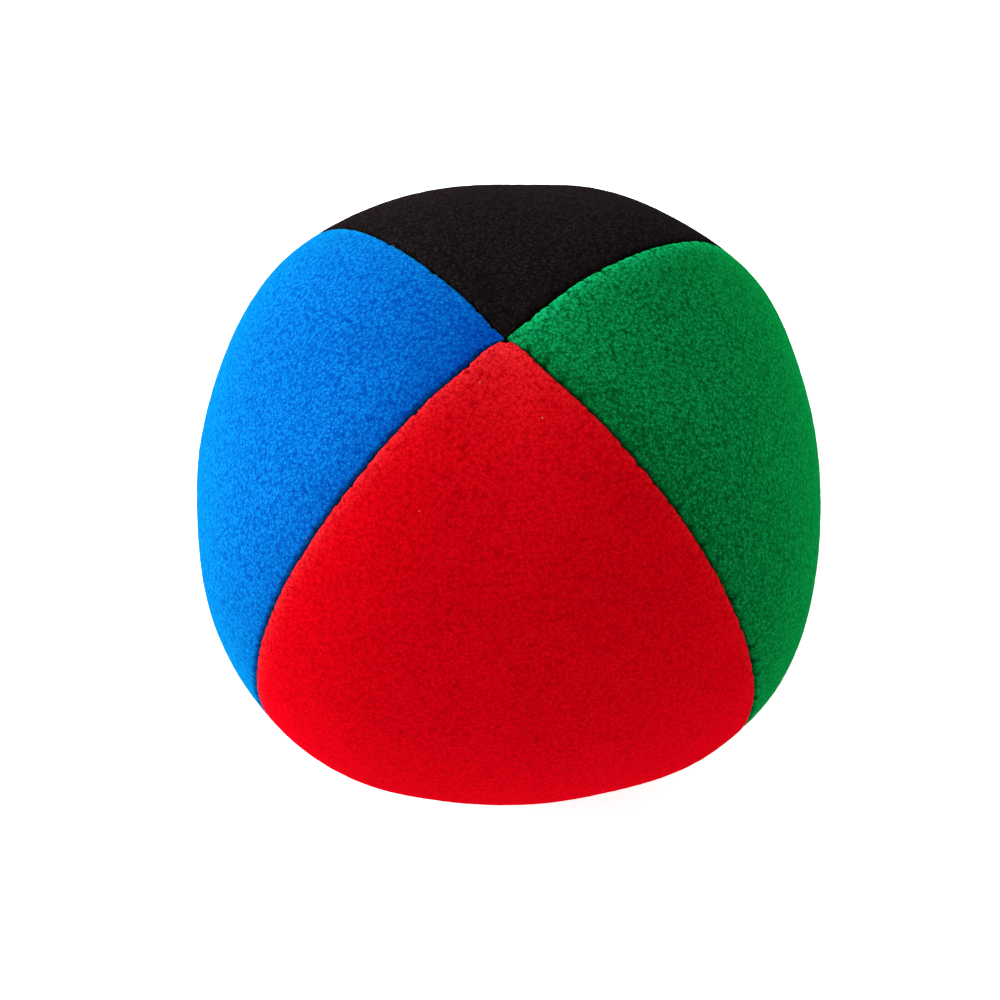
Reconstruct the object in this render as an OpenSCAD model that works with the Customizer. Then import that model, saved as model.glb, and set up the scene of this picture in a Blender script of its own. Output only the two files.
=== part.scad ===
/* [Ball] */
// Width of the ball across the middles of opposite panels
ball_d = 65; // [50:1:80]
// Height of the ball from pole to pole before its own weight flattens it
ball_h = 64.5; // [48:0.5:79]
// How far each seam stands out past the circle through the middles of the panels
seam_rise = 2.1; // [0.5:0.1:3]
// How far the bottom of the bag is pressed flat where it rests
rest_sag = 0.8; // [0.4:0.1:1.2]

/* [Panels] */
// Thickness of the velour, pile included
cloth_t = 0.9; // [0.6:0.1:1.2]
// Radius of the roll where the cloth turns in at a seam
roll_r = 0.9; // [0.5:0.1:1.2]
// Width of the seam allowance turned inside the ball
allowance = 4; // [3:0.5:6]
// Gap between the two folded edges along a seam
seam_gap = 0.1; // [0.06:0.02:0.3]
// Direction of the seam between the green and the black panel, from +X towards +Y
green_black_az = 43; // [35:1:55]
// Direction of the seam between the black and the blue panel
black_blue_az = 132; // [125:1:145]
// Direction of the seam between the blue and the red panel
blue_red_az = 220; // [215:1:235]
// Direction of the seam between the red and the green panel
red_green_az = 317.5; // [305:0.5:325]
// How far the last seam, which joins the two halves, bows over near each pole, in degrees
ring_bow = 6; // [0:1:10]

/* [Stitching] */
// Thickness of the sewing thread
thread_d = 0.3; // [0.2:0.05:0.4]
// Length of one machine stitch
stitch_pitch = 2.5; // [2:0.1:4]
// Height on the closing seam, in degrees below the equator, where the filling gap begins
filling_gap_top = 16; // [10:1:25]
// Height on the closing seam, in degrees below the equator, where the filling gap ends
filling_gap_bottom = 62; // [50:1:65]
// Length of one hand stitch that closes the filling gap
hand_pitch = 3; // [2.5:0.5:5]

/* [Filling] */
// Space left all round the filling
fill_clearance = 0.3; // [0.2:0.05:0.5]

/* [Hidden] */
$fn = 96;

panel_r = ball_d / 2;
seam_r = panel_r + seam_rise;
pole_z = ball_h / 2;
// The flat underside lies at z = 0, so the centre of the ball is this high
centre_z = pole_z - rest_sag;
half_gap = seam_gap / 2;
tip_taper_r = 3.5; // the folds shrink towards a panel's tip inside this distance from the axis
tip_r = 0.4;       // a panel ends at this distance from the axis
corner_gap = 0.1;  // from a fold to the nearest point of the panel's inside face
press_trim = 0.1;  // the underside is made this much too low and then planed flat
bow_r = 0.4 * panel_r; // the bow of the last seam has mostly gone at this distance from the axis

// Each seam: its direction at the equator and how far it turns from that at the poles
green_black = [green_black_az, ring_bow];
black_blue = [black_blue_az, 0];
blue_red = [blue_red_az, -ring_bow];
red_green = [red_green_az, 0];
one_turn = [360, 0];

rows = 40;      // rings of points along a panel
across = 18;    // strips across the outside of a panel
across_in = 10; // strips across its inside
roll_steps = 4; // strips round a rolled edge

// Thread that lies on the inside face of a fold is this far from the seam plane
thread_aside = half_gap + cloth_t + thread_d / 2;
lock_gap = 0.02;                         // left between two threads that lock in a hole
lock_aside = (thread_d + lock_gap) / 2;
stitch_depth = cloth_t + 0.3 * allowance; // machine stitches, under the outside of the seam
dip_share = 0.2;                          // of a machine stitch, over which it dips to its hole
hand_depth = cloth_t + thread_d;          // hand stitches, just inside the cloth
hand_bend = 0.15;                         // share of a hand stitch that its bends take up
first_hole_r = 2.6;    // no stitch pierces the cloth closer to the axis than this
pole_crossing_r = 0.8; // the ring seam crosses the axis in one step of twice this length
half_seam_end_r = 3;   // the other seams end at this distance from the axis
knot_r = 1.5 * thread_d;
knot_steps = 4;
knot_end = 0.4; // radius of each end of a knot, as a share of its widest
thread_sides = 6;
slot_depth = allowance + rest_sag + fill_clearance; // room in the filling under each seam
well_widths = 1.6; // radius of the room at a pole, as a share of half a slot's width

// Every meridian of the skin is a circular arc through both poles.
// Its centre is this far out from the axis, for a given radius at the equator.
function arc_offset(equator_r) = (equator_r * equator_r - pole_z * pole_z) / (2 * equator_r);
function arc_radius(equator_r) = equator_r - arc_offset(equator_r);

// Distance from the axis and height above the centre of a point on a meridian
function rho_at(equator_r, lat, depth) =
    arc_offset(equator_r) + (arc_radius(equator_r) - depth) * cos(lat);
function height_at(equator_r, lat, depth) = (arc_radius(equator_r) - depth) * sin(lat);

// Largest angle on a meridian arc, where the arc has come in to the tip of the panel
function tip_lat(equator_r) = acos((tip_r - arc_offset(equator_r)) / arc_radius(equator_r));

// Radius at the equator for a share of the way across a panel: 0 and 1 are the seams
function equator_r_at(share) = panel_r + seam_rise * pow(cos(180 * share), 2);

// Direction of a seam at a distance from the axis
function seam_az(seam, rho) = seam[0] + seam[1] * exp(-pow(rho / bow_r, 2));

// A point at a depth in the ball, with everything below the resting plane pressed up to it
function pressed(rho, az, height, depth) =
    [rho * cos(az), rho * sin(az), max(height + centre_z, depth - press_trim)];

function skin_point(az_from, az_to, share, level, depth) =
    let (
        equator_r = equator_r_at(share),
        lat = level * tip_lat(equator_r),
        az = az_from + share * (az_to - az_from)
    )
    pressed(rho_at(equator_r, lat, depth), az, height_at(equator_r, lat, depth), depth);

// A point beside a seam: side is 1 on the panel that follows it and -1 on the one before
function seam_point(seam, side, lat, depth, aside) =
    let (az = seam_az(seam, rho_at(seam_r, lat, 0)))
    pressed(rho_at(seam_r, lat, depth), az, height_at(seam_r, lat, depth), depth)
    + side * aside * [-sin(az), cos(az), 0];

// Share of a panel that a fold takes up beside its seam. The panel's width is in degrees.
function fold_share(width, rho, aside) = asin(aside / rho) / width;

// Folded edge of one panel at a seam, from the outside surface to the inner corner
function folded_edge(seam, side, lat, roll, fold_t, reach) = concat(
    [for (i = [1 : roll_steps])
        let (a = 90 * i / roll_steps)
        seam_point(seam, side, lat, roll * (1 - cos(a)), half_gap + roll * (1 - sin(a)))],
    [for (aside = [half_gap, half_gap + fold_t]) seam_point(seam, side, lat, reach, aside)],
    [seam_point(seam, side, lat, cloth_t, half_gap + fold_t)]
);

function reversed(list) = [for (i = [len(list) - 1 : -1 : 0]) list[i]];

// One closed ring of points round the thickness of a panel at a level from -1 to 1
function panel_ring(from, to, level) =
    let (
        lat = level * tip_lat(seam_r),
        rho = rho_at(seam_r, lat, 0),
        az_from = seam_az(from, rho),
        az_to = seam_az(to, rho),
        width = az_to - az_from,
        taper = min(1, rho / tip_taper_r),
        roll = roll_r * taper * (1 + taper) / 2,
        fold_t = cloth_t * taper,
        reach = cloth_t + (allowance - cloth_t) * taper * taper,
        outer = fold_share(width, rho, half_gap + roll),
        inner = fold_share(width, rho, half_gap + (cloth_t + corner_gap) * taper)
    )
    concat(
        [for (i = [0 : across])
            skin_point(az_from, az_to, outer + (1 - 2 * outer) * i / across, level, 0)],
        folded_edge(to, -1, lat, roll, fold_t, reach),
        [for (i = [across_in : -1 : 0])
            skin_point(
                az_from, az_to, inner + (1 - 2 * inner) * i / across_in, level, cloth_t
            )],
        reversed(folded_edge(from, 1, lat, roll, fold_t, reach))
    );

// Rings lie closer together towards the tips, where the panel narrows fast
function ring_level(row) = sin(90 * (2 * row / (rows - 1) - 1));

// A closed solid through rings of the same number of points, turning left as they go up
module lofted(rings) {
    count = len(rings[0]);
    last = len(rings) - 1;
    walls = [
        for (row = [0 : last - 1])
            for (i = [0 : count - 1])
                let (
                    a = row * count + i,
                    b = row * count + (i + 1) % count
                )
                each [[a, a + count, b], [b, a + count, b + count]]
    ];
    start_cap = [for (i = [0 : count - 1]) i];
    end_cap = [for (i = [count - 1 : -1 : 0]) last * count + i];
    polyhedron([for (ring = rings) each ring], concat([start_cap], walls, [end_cap]));
}

// Everything below a height
module below(z) {
    translate([-ball_d, -ball_d, z - ball_d])
        cube([2 * ball_d, 2 * ball_d, ball_d]);
}

// A gore of velour between two seams, with its edges folded in
module panel(from, to) {
    difference() {
        lofted([for (row = [0 : rows - 1]) panel_ring(from, to, ring_level(row))]);
        below(0);
    }
}

module panel_red() {
    color("#c4000f") panel(blue_red, red_green);
}

module panel_green() {
    color("#0a7236") panel(red_green, green_black + one_turn);
}

module panel_black() {
    color("#1c1617") panel(green_black, black_blue);
}

module panel_blue() {
    color("#0a72d4") panel(black_blue, blue_red);
}

// Angle on a seam, at a depth, where it has come in to a distance from the ball's axis
function lat_at_rho(rho, depth) = acos((rho - arc_offset(seam_r)) / (arc_radius(seam_r) - depth));

function unit(v) = v / norm(v);

// Thread along a path, with its radius at each point
module thread(path, radii) {
    last = len(path) - 1;
    lofted([
        for (i = [0 : last])
            let (
                along = unit(path[min(i + 1, last)] - path[max(i - 1, 0)]),
                from_centre = path[i] - [0, 0, centre_z],
                out = unit(from_centre - (from_centre * along) * along),
                aside = cross(along, out)
            )
            [for (k = [0 : thread_sides - 1])
                let (a = 360 * k / thread_sides)
                path[i] + radii[i] * (cos(a) * out + sin(a) * aside)]
    ]);
}

// Path of one thread of a row of lock stitches: it lies on its own side of the seam
// and dips between the folds at each hole to lock with the thread of the other side
function lock_path(seam, side, from_lat, to_lat) =
    let (
        pitch = stitch_pitch / (arc_radius(seam_r) - stitch_depth) * 180 / PI,
        count = round(abs(to_lat - from_lat) / pitch),
        step = (to_lat - from_lat) / count
    )
    [for (i = [0 : count - 1])
        for (dip = [-dip_share, 0, dip_share])
            let (
                lat = from_lat + (i + 0.5 + dip) * step,
                pierces = dip == 0 && rho_at(seam_r, lat, stitch_depth) > first_hole_r
            )
            seam_point(seam, side, lat, stitch_depth, pierces ? lock_aside : thread_aside)];

module machine_thread(path) {
    color("#15151a") thread(path, [for (p = path) thread_d / 2]);
}

// Each of two seams joins a pair of panels into one half of the ball
module half_seam_thread(seam, side) {
    end_lat = lat_at_rho(half_seam_end_r, stitch_depth);
    machine_thread(lock_path(seam, side, -end_lat, end_lat));
}

// The last seam joins the halves: from below the filling gap round both poles to above it
module ring_seam_thread(side) {
    pole_lat = lat_at_rho(pole_crossing_r, stitch_depth);
    machine_thread(concat(
        lock_path(green_black, side, -filling_gap_bottom, -pole_lat),
        lock_path(blue_red, -side, -pole_lat, pole_lat),
        lock_path(green_black, side, pole_lat, -filling_gap_top)
    ));
}

module needle_thread_black_blue() { half_seam_thread(black_blue, 1); }

module bobbin_thread_black_blue() { half_seam_thread(black_blue, -1); }

module needle_thread_red_green() { half_seam_thread(red_green, 1); }

module bobbin_thread_red_green() { half_seam_thread(red_green, -1); }

module needle_thread_ring_seam() { ring_seam_thread(1); }

module bobbin_thread_ring_seam() { ring_seam_thread(-1); }

// Ladder stitches close the filling gap: the thread crosses from fold to fold, runs on
// inside that fold and crosses back, with a knot at each end
module hand_closing_thread() {
    degrees_per_mm = 180 / PI / (arc_radius(seam_r) - hand_depth);
    rungs = 2 * floor((filling_gap_bottom - filling_gap_top) / (hand_pitch * degrees_per_mm) / 2);
    step = (filling_gap_bottom - filling_gap_top) / rungs;
    corners = [[-hand_bend, 1], [0, 1 - hand_bend], [0, hand_bend - 1], [hand_bend, -1]];
    ladder = [
        for (i = [1 : rungs - 1])
            for (corner = corners)
                let (side = (i % 2 == 0 ? 1 : -1) * sign(corner[1]))
                seam_point(
                    green_black, side, -filling_gap_bottom + (i + corner[0]) * step,
                    hand_depth, thread_aside * abs(corner[1])
                )
    ];
    knot_depth = cloth_t + 2 * knot_r;
    knot_aside = half_gap + cloth_t + knot_r;
    function knot(lat) = [
        for (i = [0 : knot_steps])
            seam_point(
                green_black, -1, lat + 2 * knot_r * i / knot_steps * degrees_per_mm,
                knot_depth, knot_aside
            )
    ];
    knot_radii = [
        for (i = [0 : knot_steps])
            knot_r * (knot_end + (1 - knot_end) * sin(180 * i / knot_steps))
    ];
    color("#15151a")
        thread(
            concat(knot(-filling_gap_bottom), ladder, knot(-filling_gap_top - step / 2)),
            concat(knot_radii, [for (p = ladder) thread_d / 2], knot_radii)
        );
}

// Half the width of the space for one seam, with the furthest that the seam bows to one side,
// which is where it lies bow_r / sqrt(2) from the axis
function slot_half_w(seam) =
    thread_aside + thread_d / 2 + fill_clearance
    + bow_r / sqrt(2) * exp(-0.5) * sin(abs(seam[1]));

// Space in the filling for the folds and the threads of one seam
module seam_slot(seam) {
    half_w = slot_half_w(seam);
    rotate([0, 0, seam[0]])
        translate([0, 0, centre_z])
            rotate([90, 0, 0])
                linear_extrude(height = 2 * half_w, center = true)
                    difference() {
                        translate([-half_w, -ball_d])
                            square([ball_d, 2 * ball_d]);
                        translate([arc_offset(seam_r), 0])
                            circle(r = arc_radius(seam_r) - slot_depth);
                    }
}

// Space in the filling at each pole, where the ends of all the folds crowd together
module pole_wells() {
    well_r = well_widths * slot_half_w(green_black);
    floor_z = sqrt(pow(arc_radius(seam_r) - slot_depth, 2) - pow(arc_offset(seam_r) + well_r, 2));
    for (side = [-1, 1])
        translate([0, 0, centre_z + side * (floor_z + ball_d / 2)])
            cylinder(r = well_r, h = ball_d, center = true);
}

// Loose millet, drawn as the one body that it fills
module millet_filling() {
    skin_t = cloth_t + fill_clearance;
    color("#c9a25e")
        difference() {
            translate([0, 0, centre_z])
                rotate_extrude()
                    intersection() {
                        translate([arc_offset(panel_r), 0])
                            circle(r = arc_radius(panel_r) - skin_t);
                        translate([0, -ball_d])
                            square([ball_d, 2 * ball_d]);
                    }
            below(skin_t);
            for (seam = [green_black, black_blue, blue_red, red_green])
                seam_slot(seam);
            pole_wells();
        }
}

panel_red();
panel_green();
panel_black();
panel_blue();
needle_thread_black_blue();
bobbin_thread_black_blue();
needle_thread_red_green();
bobbin_thread_red_green();
needle_thread_ring_seam();
bobbin_thread_ring_seam();
hand_closing_thread();
millet_filling();
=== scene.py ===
"""Juggling ball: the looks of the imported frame, in metres, in the frame of the CAD."""

import math

import bpy
import numpy as np
from mathutils import Matrix, Vector, noise

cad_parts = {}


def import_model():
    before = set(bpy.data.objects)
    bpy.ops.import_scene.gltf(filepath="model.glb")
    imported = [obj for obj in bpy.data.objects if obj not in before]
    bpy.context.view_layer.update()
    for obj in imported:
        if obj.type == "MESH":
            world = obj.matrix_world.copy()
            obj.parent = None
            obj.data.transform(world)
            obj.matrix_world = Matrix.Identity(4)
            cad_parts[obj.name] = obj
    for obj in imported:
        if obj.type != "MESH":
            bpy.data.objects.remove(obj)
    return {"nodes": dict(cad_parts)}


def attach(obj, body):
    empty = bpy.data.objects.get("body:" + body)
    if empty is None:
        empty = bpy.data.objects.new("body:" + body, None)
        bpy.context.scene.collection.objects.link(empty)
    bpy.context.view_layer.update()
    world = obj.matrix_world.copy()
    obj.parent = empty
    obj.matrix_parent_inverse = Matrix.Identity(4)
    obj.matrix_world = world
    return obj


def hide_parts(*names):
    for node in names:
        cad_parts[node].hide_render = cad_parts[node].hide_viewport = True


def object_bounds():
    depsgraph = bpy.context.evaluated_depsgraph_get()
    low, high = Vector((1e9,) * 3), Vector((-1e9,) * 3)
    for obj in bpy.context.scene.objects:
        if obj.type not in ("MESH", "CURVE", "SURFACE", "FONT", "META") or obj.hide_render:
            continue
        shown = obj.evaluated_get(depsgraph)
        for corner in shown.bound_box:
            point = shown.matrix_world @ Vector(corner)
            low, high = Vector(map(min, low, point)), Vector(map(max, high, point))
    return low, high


MM = 0.001

# Sizes of the cloth and the seams that the frame's boxes don't give
CLOTH = 0.9 * MM
ALLOWANCE = 4.0 * MM
SEAM_LENGTH = 105 * MM  # along one seam, from pole to pole
HALF_GAP = 0.05 * MM  # from the middle of a seam to the top of each fold
TOUCHING = 0.005 * MM  # the same, further down, where the two folds press together
PRESS = 0.8 * MM  # how far the bag sags flat underneath
PRESS_SOFTNESS = 0.45 * MM  # how gently the skin turns into that flat patch

# The fold of the cloth at a seam, which tapers away within TAPER_RADIUS of the axis
ROLL_WIDTH = 0.45 * MM
ROLL_DEPTH = 0.6 * MM
SEAM_DIP = 0.12 * MM  # how much lower the cloth lies beside a seam
DIP_WIDTH = 3.4 * MM
TAPER_RADIUS = 2.0 * MM
TIP_RADIUS = {"panel_red": 0.5 * MM, "panel_green": 0.2 * MM}  # from the axis to a panel's tips
OTHER_TIP_RADIUS = 0.25 * MM
INNER_CORNER_DEPTH = 1.2 * CLOTH  # the least depth of the raw edge's inner corner
INNER_STEP = 0.1 * MM  # from that corner to the first column of the inside

# The unevenness of a folded edge: how far it stands aside, and the length of one wave
EDGE_TUFTS = (0.12 * MM, 0.4 * MM)
EDGE_WAVES = (0.06 * MM, 2.3 * MM)
EDGE_BULGE = 0.03 * MM  # how much nearer to the seam than HALF_GAP it may come
STITCH = 2.5 * MM
STITCH_REACH = 0.25 * MM  # how far along the seam a stitch draws the edge in
STITCH_PULL = 0.15 * MM  # how far aside a middling stitch draws it

# The relief of the nap, made of tufts and broad patches: how strong and how wide each is
NAP_RELIEF = 0.055 * MM
NAP_TUFTS = (0.6, 0.9 * MM)
NAP_PATCHES = (0.7, 7 * MM)

# Where the filling lies unevenly: direction in degrees round the outline that the ball shows from
# the front at OUTLINE_ELEVATION, height, and reach in degrees
OUTLINE_ELEVATION = math.radians(60)
LUMPS = (
    (116, -0.55 * MM, 13),
    (57, -0.35 * MM, 9),
    (76, 0.4 * MM, 9),
    (290, -0.55 * MM, 13),
    (212, -0.25 * MM, 10),
    (172, 0.35 * MM, 12),
    (24, -0.33 * MM, 11),
    (325, 0.24 * MM, 13),
    (243, 0.22 * MM, 10),
)

# Painted light and shade, lighter where the pile faces the key light and darker where it faces
# away, at the tips, along the first seam, along the second and at the stitches of both (painted
# shade in their puckers): how much lighter or darker that paints the cloth, and how far from
# there it reaches
PAINTED_NAP_LIGHT_AND_SHADE = {
    "panel_black": ((-0.4, 8 * MM), (-0.3, 1.2 * MM), (0.0, 1.0 * MM), (-0.3, 0.4 * MM)),
    "panel_blue": ((-1.1, 9 * MM), (0.25, 0.5 * MM), (-0.4, 2.0 * MM), (-0.2, 0.4 * MM)),
    "panel_red": ((0.3, 5 * MM), (0.35, 0.6 * MM), (0.1, 0.5 * MM), (-0.2, 0.4 * MM)),
    "panel_green": ((0.3, 10 * MM), (-0.2, 2.5 * MM), (0.75, 0.7 * MM), (-1.3, 0.45 * MM)),
}

# How the sewing has left the four upper tips: all moved off the axis, and the red one fuller
TIP_SHIFT = (-0.4 * MM, 0.1 * MM, 0.0)
TIP_REACH = 5 * MM
RED_TIP_FULLNESS = 0.9
RED_TIP_REACH = 3 * MM

# Mesh of one panel
ROWS = 430
ROW_CROWDING = 0.35  # how far the rows crowd towards the tips: 0 would space them evenly
SURFACE_COLUMNS = 176
ROLL_COLUMNS = 9
FOLD_COLUMNS = 5
INNER_COLUMNS = 20

# Seeds of the noise: each panel's and each second edge's differ by these
PANEL_SEED = 3.1
SECOND_EDGE_SEED = 7.3

# Panels in turn, anticlockwise from above, and how far the seam that each begins with bows to one
# side at the poles: only the last seam, which joins the two halves, does
PANELS = ("panel_black", "panel_blue", "panel_red", "panel_green")
BOW = math.radians(6)
BOW_REACH = 0.4  # as a share of the ball's radius
BOWS = (BOW, 0.0, -BOW, 0.0)
# How far each of those seams has slid round the upper half of the ball: the black panel is drawn
# narrower there
SLIDES = (math.radians(1.2), math.radians(-1.3), 0.0, 0.0)
SLIDE_REACH = math.radians(25)  # how far round from a seam the cloth has slid with it
SLIDE_FADE = 5 * MM  # how near the equator the slide dies away
THREADS = (
    "needle_thread_black_blue",
    "bobbin_thread_black_blue",
    "needle_thread_red_green",
    "bobbin_thread_red_green",
    "needle_thread_ring_seam",
    "bobbin_thread_ring_seam",
    "hand_closing_thread",
)


# ---------------------------------------------------------------- the ball's measures


def mesh_points(node):
    """The points of a node's mesh, one to a row."""
    mesh = node.data
    points = np.empty(len(mesh.vertices) * 3)
    mesh.vertices.foreach_get("co", points)
    return points.reshape(-1, 3)


def axis_distance(points):
    """How far each point lies from the axis through both poles."""
    return np.hypot(points[..., 0], points[..., 1])


def panel_span(node, centre_z):
    """The azimuths, in radians, between which a CAD panel lies, measured near the equator."""
    points = mesh_points(node)
    band = 2 * MM
    near = points[np.abs(points[:, 2] - centre_z) < band]
    middle = math.atan2(near[:, 1].mean(), near[:, 0].mean())
    turned = np.arctan2(near[:, 1], near[:, 0]) - middle
    turned = (turned + math.pi) % (2 * math.pi) - math.pi
    return middle + turned.min(), middle + turned.max()


def seam_directions(spans):
    """The seam that each panel begins with lies midway between that panel and the one before."""
    directions = []
    for i, (start, _) in enumerate(spans):
        before = spans[i - 1][1]
        gap = (start - before + math.pi) % (2 * math.pi) - math.pi
        directions.append(start - gap / 2)
    return directions


def measure_ball(frame, cad_box):
    """The driving sizes of the bag, read from the CAD model."""
    low, high = cad_box
    pole_z = (high.z - low.z + PRESS) / 2
    centre_z = high.z - pole_z
    panel_r = (high.x - low.x) / 2
    spans = [panel_span(frame["nodes"][name], centre_z) for name in PANELS]
    return {
        "panel_r": panel_r,
        "seam_r": max(axis_distance(mesh_points(frame["nodes"][name])).max() for name in PANELS),
        "pole_z": pole_z,
        "centre_z": centre_z,
        "bow_r": BOW_REACH * panel_r,
        "directions": seam_directions(spans),
    }


# ---------------------------------------------------------------- the shape of the skin


def arc_offset(ball, equator_r):
    """How far the centre of a meridian arc through both poles lies from the axis."""
    return (equator_r**2 - ball["pole_z"] ** 2) / (2 * equator_r)


def meridian_point(ball, equator_r, azimuth, level, depth):
    """A point of the skin. level runs from -1 at the lower tip to 1 at the upper one."""
    offset = arc_offset(ball, equator_r)
    radius = equator_r - offset
    latitude = level * np.arccos((ball["tip_r"] - offset) / radius)
    out = offset + (radius - depth) * np.cos(latitude)
    height = ball["centre_z"] + (radius - depth) * np.sin(latitude)
    return np.stack(
        np.broadcast_arrays(out * np.cos(azimuth), out * np.sin(azimuth), press(height, depth)),
        axis=-1,
    )


def press(height, depth):
    """The height of a point that may not sink below its depth above the ground."""
    above = height - depth
    return depth + (above + np.sqrt(above**2 + PRESS_SOFTNESS**2)) / 2


def seam_radius(ball, level):
    """How far a seam lies from the axis."""
    points = meridian_point(ball, ball["seam_r"], 0.0, level, 0.0)
    return points[..., 0]


def seam_azimuth(ball, seam, level):
    """The direction of a seam, given as its direction at the equator and its bow."""
    azimuth, bow = seam
    return azimuth + bow * np.exp(-((seam_radius(ball, level) / ball["bow_r"]) ** 2))


def seam_point(ball, seam, side, level, depth, aside):
    """A point beside a seam. side is 1 on the panel that follows it and -1 on the one before."""
    azimuth = seam_azimuth(ball, seam, level)
    across = np.stack([-np.sin(azimuth), np.cos(azimuth), np.zeros_like(azimuth)], axis=-1)
    on_seam = meridian_point(ball, ball["seam_r"], azimuth, level, depth)
    return on_seam + side * np.broadcast_to(aside, level.shape)[..., None] * across


def along_noise(level, seed, period):
    """Smooth noise along a seam, from -1 to 1, about one wave to a period."""
    places = level * SEAM_LENGTH / 2 / period
    return np.array([noise.noise(Vector((x, seed, 0.5))) for x in places])


def stitch_pull(level, seed, side):
    """How hard the stitches draw in an edge: 0 between them, and up to about 2 at some of them.
    The two sides of a seam are drawn in by turns, half a stitch apart."""
    phase = (level * SEAM_LENGTH / 2 / STITCH + side / 4) % 1 - 0.5
    uneven = np.maximum(0.7 + 1.5 * along_noise(level, seed + 5, STITCH), 0.0)
    return uneven * np.exp(-((phase * STITCH / STITCH_REACH) ** 2))


def seam_edge(ball, seam, side, level, seed):
    """The columns of points round one folded edge, from the surface to the fold's raw edge. Also
    how far aside of the seam the surface begins, how deep the raw edge lies and the taper."""
    taper = np.minimum(1.0, seam_radius(ball, level) / TAPER_RADIUS)
    tufts = EDGE_TUFTS[0] * along_noise(level, seed, EDGE_TUFTS[1])
    waves = EDGE_WAVES[0] * along_noise(level, seed + 3, EDGE_WAVES[1])
    pucker = STITCH_PULL * stitch_pull(level, seed, side)
    gap = HALF_GAP + np.maximum(tufts + waves + pucker, -EDGE_BULGE) * taper
    width = ROLL_WIDTH * taper * (1 + taper) / 2
    deep = ROLL_DEPTH * taper * (1 + taper) / 2
    reach = CLOTH + (ALLOWANCE - CLOTH) * taper**2
    dip = SEAM_DIP * taper
    columns = []
    for i in range(1, ROLL_COLUMNS + 1):
        angle = math.pi / 2 * i / ROLL_COLUMNS
        aside = gap + width * (1 - math.sin(angle))
        depth = dip + deep * (1 - math.cos(angle))
        columns.append(seam_point(ball, seam, side, level, depth, aside))
    for i in range(1, FOLD_COLUMNS + 1):
        share = i / FOLD_COLUMNS
        depth = (dip + deep) * (1 - share) + np.maximum(reach, dip + deep) * share
        open_share = max(0.0, 1 - 3 * share)  # the folds meet a third of the way down
        aside = TOUCHING + (gap - TOUCHING) * open_share
        columns.append(seam_point(ball, seam, side, level, depth, aside))
    return columns, gap + width, reach, taper


def fold_share(ball, level, aside, width):
    """Share of a panel's width, in radians, that lies within a distance of its seam."""
    sine = np.minimum(aside / seam_radius(ball, level), 0.99)  # less than 1 beside the axis too
    return np.arcsin(sine) / width


def equator_radius(ball, share):
    """Radius at the equator for a share of the way across a panel: 0 and 1 are the seams."""
    rise = ball["seam_r"] - ball["panel_r"]
    return ball["panel_r"] + rise * np.cos(math.pi * share) ** 2


def surface_columns(ball, seams, level, edges, count, depth_to):
    """Columns of points across a panel's outside, or its inside, from seam to seam."""
    start, end = (seam_azimuth(ball, seam, level) for seam in seams)
    width = end - start
    first = fold_share(ball, level, edges[0], width)
    last = 1 - fold_share(ball, level, edges[1], width)
    columns = []
    for i in range(count + 1):
        share = first + (last - first) * i / count
        radius = equator_radius(ball, share)
        columns.append(
            meridian_point(ball, radius, start + share * width, level, depth_to(share, width))
        )
    return columns


def dip_near_seams(ball, level, taper):
    """How far the surface sinks towards the seams, as a function of the share across."""
    out = seam_radius(ball, level)

    def depth(share, width):
        nearest = np.minimum(share, 1 - share) * width * out
        past_roll = np.maximum(nearest - ROLL_WIDTH * taper, 0.0)
        return SEAM_DIP * taper * np.exp(-((past_roll / DIP_WIDTH) ** 2))

    return depth


def row_levels():
    """Levels of the rows of a panel, from -1 to 1, a little closer together near the tips."""
    even = np.linspace(-1, 1, ROWS)
    return np.sin(math.pi / 2 * even) * ROW_CROWDING + even * (1 - ROW_CROWDING)


def panel_rings(ball, seams, level, seeds):
    """Rows of closed rings of points round the thickness of a panel: outside and inside."""
    start, end = seams
    near, near_edge, reach, taper = seam_edge(ball, start, 1, level, seeds[0])
    far, far_edge, _, _ = seam_edge(ball, end, -1, level, seeds[1])
    dip = dip_near_seams(ball, level, taper)
    surface = surface_columns(ball, seams, level, (near_edge, far_edge), SURFACE_COLUMNS, dip)
    outside = near[::-1] + surface + far
    corner = HALF_GAP + CLOTH * taper
    corner_depth = np.maximum(reach, INNER_CORNER_DEPTH)
    inner_edges = (corner + INNER_STEP * taper,) * 2
    inner = surface_columns(ball, seams, level, inner_edges, INNER_COLUMNS, lambda s, w: CLOTH)
    end_corner = seam_point(ball, end, -1, level, corner_depth, corner)
    start_corner = seam_point(ball, start, 1, level, corner_depth, corner)
    inside = [end_corner] + inner[::-1] + [start_corner]
    return np.stack(outside, axis=1), np.stack(inside, axis=1)


def slide_round(ball, points):
    """Turn points of the upper half about the axis by as much as the nearest seam has slid."""
    azimuth = np.arctan2(points[..., 1], points[..., 0])
    turn = np.zeros_like(azimuth)
    for direction, slide in zip(ball["directions"], SLIDES):
        apart = (azimuth - direction + math.pi) % (2 * math.pi) - math.pi
        turn += slide * np.exp(-((apart / SLIDE_REACH) ** 2))
    turn *= (1 + np.tanh((points[..., 2] - ball["centre_z"]) / SLIDE_FADE)) / 2
    rho = axis_distance(points)
    slid = points.copy()
    slid[..., 0] = rho * np.cos(azimuth + turn)
    slid[..., 1] = rho * np.sin(azimuth + turn)
    return slid


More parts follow.
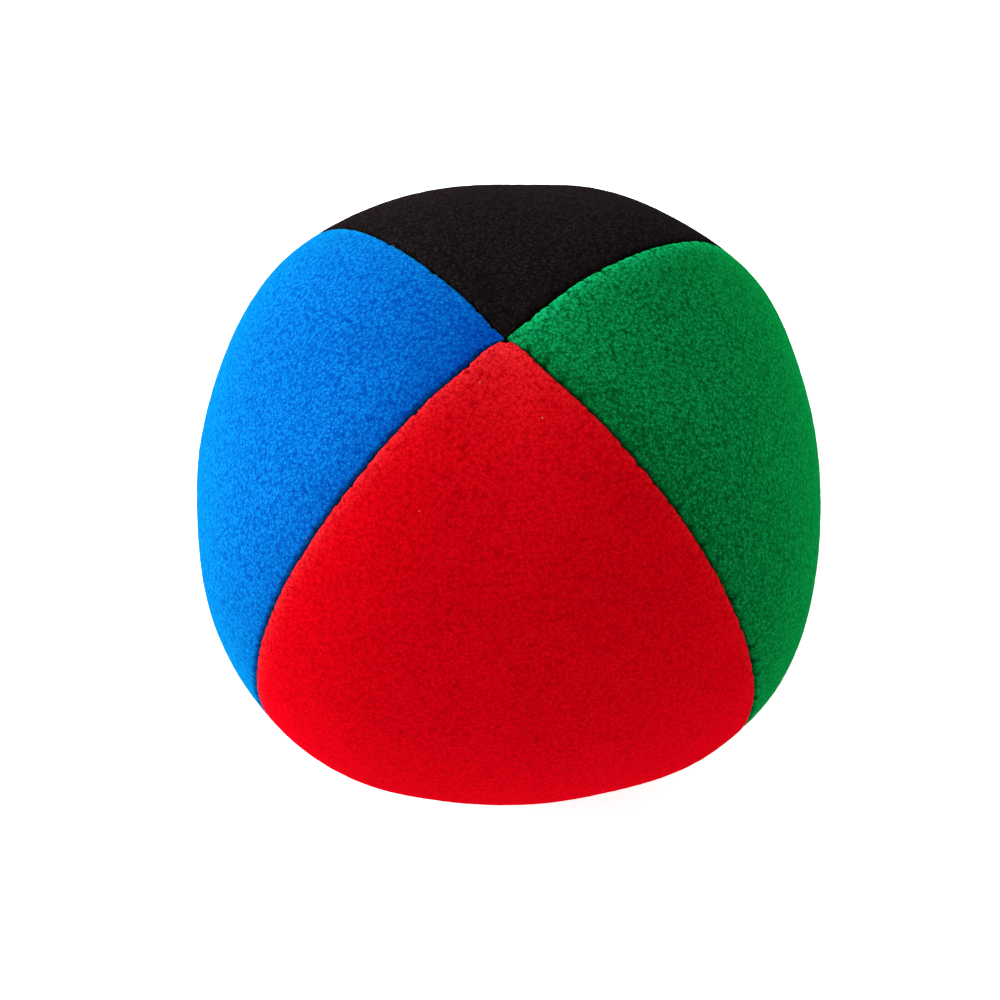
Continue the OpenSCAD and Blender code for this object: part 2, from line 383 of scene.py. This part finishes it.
def settle(ball, points):
    """Move points of the skin as the sewing and the loose filling have left them: seams that have
    slid, swellings and hollows, upper tips that meet off the axis, and a full red tip."""
    right = np.array([1.0, 0.0, 0.0])
    up = np.array([0.0, math.sin(OUTLINE_ELEVATION), math.cos(OUTLINE_ELEVATION)])
    points = slide_round(ball, points)
    from_centre = points - np.array([0.0, 0.0, ball["centre_z"]])
    distance = np.linalg.norm(from_centre, axis=-1, keepdims=True)
    outward = from_centre / distance
    moved = points.copy()
    for angle, height, reach in LUMPS:
        towards = right * math.cos(math.radians(angle)) + up * math.sin(math.radians(angle))
        apart = np.arccos(np.clip(outward @ towards, -1, 1))
        fade = np.exp(-((apart / math.radians(reach)) ** 2))
        moved += height * fade[..., None] * outward
    rho = axis_distance(points)
    upper = outward[..., 2] > 0
    near_tip = np.exp(-((rho / TIP_REACH) ** 2)) * upper
    moved += near_tip[..., None] * np.array(TIP_SHIFT)
    towards_red = np.maximum(-points[..., 1] / rho, 0.0)
    in_red_tip = towards_red * np.exp(-((rho / RED_TIP_REACH) ** 2)) * upper
    moved[..., 0] += RED_TIP_FULLNESS * in_red_tip * points[..., 0]
    return moved


# ---------------------------------------------------------------- meshes


def grid_normals(points):
    """Outward unit normals of a grid of points, rows going up and columns turning left."""
    across = np.gradient(points, axis=1)
    along = np.gradient(points, axis=0)
    normals = np.cross(across, along)
    return normals / np.maximum(np.linalg.norm(normals, axis=-1, keepdims=True), 1e-12)


def nap_height(points, seed):
    """Height of the pile at each point, about -1 to 1: small tufts on broad uneven patches."""
    offset = Vector((seed, seed * 0.7, -seed))
    heights = np.empty(len(points))
    for i, point in enumerate(points):
        place = Vector(point)
        tuft = noise.noise(place / NAP_TUFTS[1] + offset)
        patch = noise.noise(place / NAP_PATCHES[1] + offset)
        heights[i] = NAP_TUFTS[0] * tuft + NAP_PATCHES[0] * patch
    return heights


def painted_light_and_shade_tone(outside, light_and_shade_table, pulls):
    """How much painted light or painted shade the cloth gets: 0 in the middle of a panel, towards
    1 where the pile lies open to the key light and towards -1 where it lies away from it and in
    the puckers at the stitches."""
    rho = axis_distance(outside)
    steps = np.linalg.norm(np.diff(outside, axis=1), axis=-1)
    from_start = np.concatenate([np.zeros((len(rho), 1)), np.cumsum(steps, axis=1)], axis=1)
    from_start = np.maximum(from_start - ALLOWANCE, 0.0)  # 0 on the fold, where it can't be seen
    from_end = from_start[:, ::-1]
    beside_seams = 1 - np.exp(-((rho / TAPER_RADIUS) ** 2))
    (tip, tip_reach), (start, start_reach), (end, end_reach), (stitch_shade, stitch_reach) = light_and_shade_table
    tone = tip * np.exp(-rho / tip_reach)
    tone += beside_seams * start * np.exp(-from_start / start_reach)
    tone += beside_seams * end * np.exp(-from_end / end_reach)
    for pull, distance in zip(pulls, (from_start, from_end)):
        fade = beside_seams * np.exp(-((distance / stitch_reach) ** 2))
        tone += stitch_shade * pull[:, None] * fade
    return tone


def lofted_mesh(name, rings):
    """A closed mesh through rows of rings, with a cap on each end."""
    rows, count = rings.shape[:2]
    a = np.arange((rows - 1) * count)
    b = a - a % count + (a + 1) % count
    walls = np.stack([a, b, b + count, a + count], axis=1).tolist()
    start_cap = list(range(count))[::-1]
    end_cap = [(rows - 1) * count + i for i in range(count)]
    mesh = bpy.data.meshes.new(name)
    mesh.from_pydata(rings.reshape(-1, 3).tolist(), [], walls + [start_cap, end_cap])
    mesh.validate()
    mesh.polygons.foreach_set("use_smooth", [True] * len(mesh.polygons))
    mesh.update()
    return mesh


def link(name, mesh, material):
    """A new object in the scene, with one material."""
    piece = bpy.data.objects.new(name, mesh)
    bpy.context.scene.collection.objects.link(piece)
    piece.data.materials.append(material)
    return piece


def store_painted_light_and_shade(piece, tone, rings):
    """Store the painted light and shade of the outside on the mesh, as its tone. The inside, the
    rest of each ring, has none.
    """
    values = np.zeros(rings.shape[:2])
    values[:, : tone.shape[1]] = tone
    attribute = piece.data.attributes.new("tone", "FLOAT", "POINT")
    attribute.data.foreach_set("value", values.ravel())


def make_panel(ball, seams, node, seed, material):
    """One velour gore with its folded edges and its nap, in place of the CAD panel."""
    ball = dict(ball, tip_r=TIP_RADIUS.get(node, OTHER_TIP_RADIUS))
    level = row_levels()
    seeds = (seed, seed + SECOND_EDGE_SEED)
    outside, inside = (settle(ball, rows) for rows in panel_rings(ball, seams, level, seeds))
    nap = nap_height(outside.reshape(-1, 3), seed).reshape(outside.shape[:2])
    lifted = outside + grid_normals(outside) * (NAP_RELIEF * nap)[..., None]
    lifted[..., 2] = np.maximum(lifted[..., 2], 0.0)
    rings = np.concatenate([lifted, inside], axis=1)
    name = node.replace("panel", "velour")
    piece = link(name, lofted_mesh(node, rings), material)
    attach(piece, "root")
    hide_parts(node)
    pulls = [stitch_pull(level, own_seed, side) for own_seed, side in zip(seeds, (1, -1))]
    # painted light and shade of the outside: lighter towards the key light, darker away from it
    # and at the stitches
    store_painted_light_and_shade(piece, painted_light_and_shade_tone(outside, PAINTED_NAP_LIGHT_AND_SHADE[node], pulls), rings)


# ---------------------------------------------------------------- materials

# Colours of each velour in sRGB: pits (painted shade), body, tufts (painted light), open pile
# (painted light towards the key light), sheen; and how strong the sheen is
VELOURS = {
    "panel_red": ((144, 0, 8), (175, 1, 11), (203, 4, 17), (228, 48, 54), (255, 10, 40), 0.32),
    "panel_green": ((1, 36, 14), (4, 87, 39), (16, 141, 70), (14, 166, 98), (5, 210, 90), 0.3),
    "panel_black": ((6, 5, 5), (16, 12, 12), (38, 32, 32), (46, 38, 38), (110, 90, 95), 0.05),
    "panel_blue": ((1, 22, 118), (4, 82, 163), (14, 125, 202), (6, 140, 220), (2, 190, 222), 0.4),
}
TUFT_SIZE = 0.42 * MM
FUZZ_SIZE = 0.17 * MM
FUZZ_SHARE = 0.7  # of the pile's height; the rest is tufts
PATCH_SIZE = 5 * MM
GRAIN_SIZE = 2.2 * MM
LINT_SPACING = 5 * MM
LINT_SIZE = 0.1 * MM
LINT_STRENGTH = 0.35


def new_material(name):
    """A material that holds only a Principled shader, joined to its output."""
    material = bpy.data.materials.new(name)
    material.use_nodes = True
    tree = material.node_tree
    tree.nodes.clear()
    output = tree.nodes.new("ShaderNodeOutputMaterial")
    shader = tree.nodes.new("ShaderNodeBsdfPrincipled")
    tree.links.new(shader.outputs["BSDF"], output.inputs["Surface"])
    return material, tree, shader


def noise_node(tree, coords, size, detail=2.0, roughness=0.5):
    """Noise whose features are about size metres across."""
    node = tree.nodes.new("ShaderNodeTexNoise")
    node.inputs["Scale"].default_value = 1 / size
    node.inputs["Detail"].default_value = detail
    node.inputs["Roughness"].default_value = roughness
    tree.links.new(coords, node.inputs["Vector"])
    return node.outputs["Fac"]


def ramp(tree, value, stops):
    """Colour for a value, between stops that are each a place and a colour."""
    node = tree.nodes.new("ShaderNodeValToRGB")
    elements = node.color_ramp.elements
    while len(elements) < len(stops):
        elements.new(0.5)
    for element, (place, colour) in zip(elements, stops):
        element.position = place
        element.color = (*colour, 1.0)
    tree.links.new(value, node.inputs["Fac"])
    return node.outputs["Color"]


def feed(tree, socket, value):
    """Give a socket a number, a colour or another socket's output."""
    if isinstance(value, bpy.types.NodeSocket):
        tree.links.new(value, socket)
    elif isinstance(value, tuple):
        socket.default_value = (*value, 1.0)
    else:
        socket.default_value = value


def mix_colour(tree, amount, first, second, blend="MIX"):
    """Two colours mixed: amount is the share of the second."""
    node = tree.nodes.new("ShaderNodeMix")
    node.data_type = "RGBA"
    node.blend_type = blend
    colour_inputs = [socket for socket in node.inputs if socket.type == "RGBA"]
    feed(tree, node.inputs["Factor"], amount)
    feed(tree, colour_inputs[0], first)
    feed(tree, colour_inputs[1], second)
    return [socket for socket in node.outputs if socket.type == "RGBA"][0]


def add_bump(tree, shader, height, distance, strength):
    """Raise the surface, in the shading only, by a height from 0 to 1."""
    bump = tree.nodes.new("ShaderNodeBump")
    bump.inputs["Distance"].default_value = distance
    bump.inputs["Strength"].default_value = strength
    tree.links.new(height, bump.inputs["Height"])
    tree.links.new(bump.outputs["Normal"], shader.inputs["Normal"])


def object_coords(tree):
    """Places on the piece, in metres."""
    return tree.nodes.new("ShaderNodeTexCoord").outputs["Object"]


def cells_node(tree, coords, size):
    """Voronoi cells about size metres across."""
    node = tree.nodes.new("ShaderNodeTexVoronoi")
    node.inputs["Scale"].default_value = 1 / size
    tree.links.new(coords, node.inputs["Vector"])
    return node


def math_node(tree, operation, *values, clamp=False):
    """The result of a sum on numbers or sockets."""
    node = tree.nodes.new("ShaderNodeMath")
    node.operation = operation
    node.use_clamp = clamp
    for socket, value in zip(node.inputs, values):
        feed(tree, socket, value)
    return node.outputs[0]


def linear(*rgb):
    """Linear colour of an sRGB one given in 0 to 255."""
    return tuple(((v / 255 + 0.055) / 1.055) ** 2.4 if v > 10 else v / 255 / 12.92 for v in rgb)


def grey(value):
    """A colour whose three channels are the same."""
    return (value, value, value)


def lint_mask(tree, coords):
    """How much lint lies at each point: a few small specks, far apart."""
    cells = cells_node(tree, coords, LINT_SPACING)
    near = math_node(tree, "LESS_THAN", cells.outputs["Distance"], LINT_SIZE / LINT_SPACING)
    return math_node(tree, "MULTIPLY", near, LINT_STRENGTH)


def pile_height(tree, coords):
    """Height of the pile from 0 to 1: round tufts with fine fuzz on them."""
    fuzz = noise_node(tree, coords, FUZZ_SIZE, detail=2.0, roughness=0.55)
    tufts = cells_node(tree, coords, TUFT_SIZE)
    inside_tuft = math_node(tree, "SUBTRACT", 1.0, tufts.outputs["Distance"])
    fuzz_part = math_node(tree, "MULTIPLY", fuzz, FUZZ_SHARE)
    tuft_part = math_node(tree, "MULTIPLY", inside_tuft, 1 - FUZZ_SHARE)
    return math_node(tree, "ADD", fuzz_part, tuft_part)


def velour(name, pit, body, tuft, painted_light_colour, sheen_colour, sheen):
    """Short-pile velour: painted shade in the pits and painted light on the tufts, over their
    bump; broad uneven patches; painted light where the pile lies open to the key light and
    painted shade where it lies away; specks of lint and a soft sheen."""
    material, tree, shader = new_material(name)
    coords = object_coords(tree)
    pile = pile_height(tree, coords)
    patches = noise_node(tree, coords, PATCH_SIZE)
    # painted shade in the pits and painted light on the tufts, on the same pile height as the
    # bump
    colour = ramp(tree, pile, [(0.28, pit), (0.5, body), (0.72, tuft)])
    shade = ramp(tree, patches, [(0.3, grey(0.93)), (0.7, grey(1.0))])
    colour = mix_colour(tree, 1.0, colour, shade, blend="MULTIPLY")
    # the painted light and shade stored on the mesh
    tone = tree.nodes.new("ShaderNodeAttribute")
    tone.attribute_name = "tone"
    # painted light: where the pile lies open to the key light, its tufts are painted lighter and
    # its pits aren't
    uneven = math_node(tree, "MULTIPLY_ADD", pile, 7.0, -2.4)
    painted_light_amount = math_node(tree, "MULTIPLY", tone.outputs["Fac"], uneven, clamp=True)
    # painted shade: where the pile lies away from the key light, and at the stitches, the cloth
    # is painted darker
    painted_shade_amount = math_node(tree, "MULTIPLY", tone.outputs["Fac"], -1.0, clamp=True)
    colour = mix_colour(tree, painted_light_amount, colour, painted_light_colour)
    painted_shade_colour = ramp(tree, pile, [(0.36, pit), (0.8, body)])
    colour = mix_colour(tree, painted_shade_amount, colour, painted_shade_colour)
    colour = mix_colour(tree, lint_mask(tree, coords), colour, linear(190, 150, 150))
    tree.links.new(colour, shader.inputs["Base Color"])
    rough = tree.nodes.new("ShaderNodeMapRange")
    rough.inputs["To Min"].default_value = 0.8
    rough.inputs["To Max"].default_value = 0.98
    tree.links.new(pile, rough.inputs["Value"])
    tree.links.new(rough.outputs["Result"], shader.inputs["Roughness"])
    shader.inputs["Specular IOR Level"].default_value = 0.0
    shader.inputs["Sheen Weight"].default_value = sheen
    shader.inputs["Sheen Roughness"].default_value = 0.5
    shader.inputs["Sheen Tint"].default_value = (*sheen_colour, 1.0)
    add_bump(tree, shader, pile, 0.08 * MM, 0.6)
    return material


def thread_material(name, colour):
    """Twisted polyester: fine slanting plies, with painted light on their crests and painted
    shade in the grooves between them.
    """
    material, tree, shader = new_material(name)
    coords = object_coords(tree)
    plies = tree.nodes.new("ShaderNodeTexWave")
    plies.inputs["Scale"].default_value = 1 / (1.2 * MM)
    plies.inputs["Distortion"].default_value = 2.0
    tree.links.new(coords, plies.inputs["Vector"])
    # painted shade and painted light: darker and lighter copies of the thread's colour along the
    # plies
    dark = tuple(0.5 * c for c in colour)
    light = tuple(2.2 * c for c in colour)
    lit_and_shaded_plies = ramp(tree, plies.outputs["Fac"], [(0.2, dark), (0.8, light)])
    tree.links.new(lit_and_shaded_plies, shader.inputs["Base Color"])
    shader.inputs["Roughness"].default_value = 0.5
    add_bump(tree, shader, plies.outputs["Fac"], 0.05 * MM, 0.6)
    return material


def millet_material():
    """Packed grains: a cell to each grain, each its own yellow."""
    material, tree, shader = new_material("millet")
    grains = cells_node(tree, object_coords(tree), GRAIN_SIZE)
    tone = tree.nodes.new("ShaderNodeSeparateColor")
    tree.links.new(grains.outputs["Color"], tone.inputs["Color"])
    dull, middling, bright = linear(176, 132, 62), linear(214, 176, 98), linear(236, 206, 140)
    colour = ramp(tree, tone.outputs["Red"], [(0.0, dull), (0.5, middling), (1.0, bright)])
    # painted shade: each grain darker towards its rim and in the gaps between the grains
    shade = ramp(tree, grains.outputs["Distance"], [(0.2, grey(1.0)), (0.75, grey(0.25))])
    shaded = mix_colour(tree, 1.0, colour, shade, blend="MULTIPLY")
    tree.links.new(shaded, shader.inputs["Base Color"])
    shader.inputs["Roughness"].default_value = 0.45
    add_bump(tree, shader, shade, 0.6 * MM, 1.0)
    return material


def velour_for(node):
    """The velour of one panel."""
    *colours, sheen = VELOURS[node]
    return velour(node.replace("panel", "velour"), *(linear(*c) for c in colours), sheen)


# ---------------------------------------------------------------- studio


def area_light(name, place, target, size, watts):
    """A round softbox that looks at its target."""
    data = bpy.data.lights.new(name, "AREA")
    data.shape = "DISK"
    data.size = size
    data.energy = watts
    lamp = bpy.data.objects.new(name, data)
    lamp.location = place
    lamp.rotation_euler = (Vector(target) - Vector(place)).to_track_quat("-Z", "Y").to_euler()
    bpy.context.scene.collection.objects.link(lamp)


def make_floor():
    """A plain white floor that glows a little, as a floor lit from below does."""
    reach = 3.0
    corners = [(-reach, -reach, 0), (reach, -reach, 0), (reach, reach, 0), (-reach, reach, 0)]
    mesh = bpy.data.meshes.new("floor")
    mesh.from_pydata(corners, [], [(0, 1, 2, 3)])
    material, _, shader = new_material("studio_floor")
    shader.inputs["Base Color"].default_value = (*grey(0.92), 1.0)
    shader.inputs["Roughness"].default_value = 0.9
    shader.inputs["Emission Color"].default_value = (*grey(1.0), 1.0)
    shader.inputs["Emission Strength"].default_value = 0.6
    link("floor", mesh, material)


def make_studio(ball):
    """Soft white light from all round, more of it from the left and from above."""
    scene = bpy.context.scene
    scene.view_settings.view_transform = "Standard"
    world = bpy.data.worlds.new("studio")
    world.use_nodes = True
    background = world.node_tree.nodes["Background"]
    background.inputs["Color"].default_value = (*grey(1.0), 1.0)
    background.inputs["Strength"].default_value = 0.9
    scene.world = world
    centre = (0.0, 0.0, ball["centre_z"])
    area_light("key_softbox", (-0.45, 0.10, 0.20), centre, size=0.30, watts=3.0)
    area_light("top_softbox", (0.0, 0.25, 0.50), centre, size=0.30, watts=0.8)
    make_floor()


def make_camera(ball):
    """A long lens, high in front of the red panel, as the photograph was taken."""
    elevation = math.radians(60.8)
    distance = 25 * ball["panel_r"]
    frame_share = 0.3104  # the ball's radius as a share of the picture's width
    data = bpy.data.cameras.new("camera")
    data.lens = data.sensor_width * frame_share * distance / ball["panel_r"]
    # the ball stands a little to the right of the picture's middle and above it
    data.shift_x = -0.0100
    data.shift_y = -0.0048
    data.clip_start = 0.01
    camera = bpy.data.objects.new("camera", data)
    tilt = Matrix.Rotation(math.pi / 2 - elevation, 4, "X")
    camera.matrix_world = (
        Matrix.Translation((0, 0, ball["centre_z"])) @ tilt @ Matrix.Translation((0, 0, distance))
    )
    bpy.context.scene.collection.objects.link(camera)
    bpy.context.scene.camera = camera


# ---------------------------------------------------------------- the whole


def panel_seams(directions, i):
    """The two seams of a panel, each as its direction at the equator and its bow."""
    after = (i + 1) % len(PANELS)
    width = (directions[after] - directions[i]) % (2 * math.pi)
    return (directions[i], BOWS[i]), (directions[i] + width, BOWS[after])


def recoat(node, material):
    """Give a CAD node one new material."""
    node.data.materials.clear()
    node.data.materials.append(material)


def main():
    """Light and frame the ball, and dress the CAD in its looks."""
    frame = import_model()
    cad_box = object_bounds()
    ball = measure_ball(frame, cad_box)
    make_camera(ball)
    make_studio(ball)
    for i, node in enumerate(PANELS):
        seams = panel_seams(ball["directions"], i)
        make_panel(ball, seams, node, PANEL_SEED * (i + 1), velour_for(node))
    thread = thread_material("sewing_thread", linear(26, 26, 32))
    for node in THREADS:
        recoat(frame["nodes"][node], thread)
    recoat(frame["nodes"]["millet_filling"], millet_material())


main()
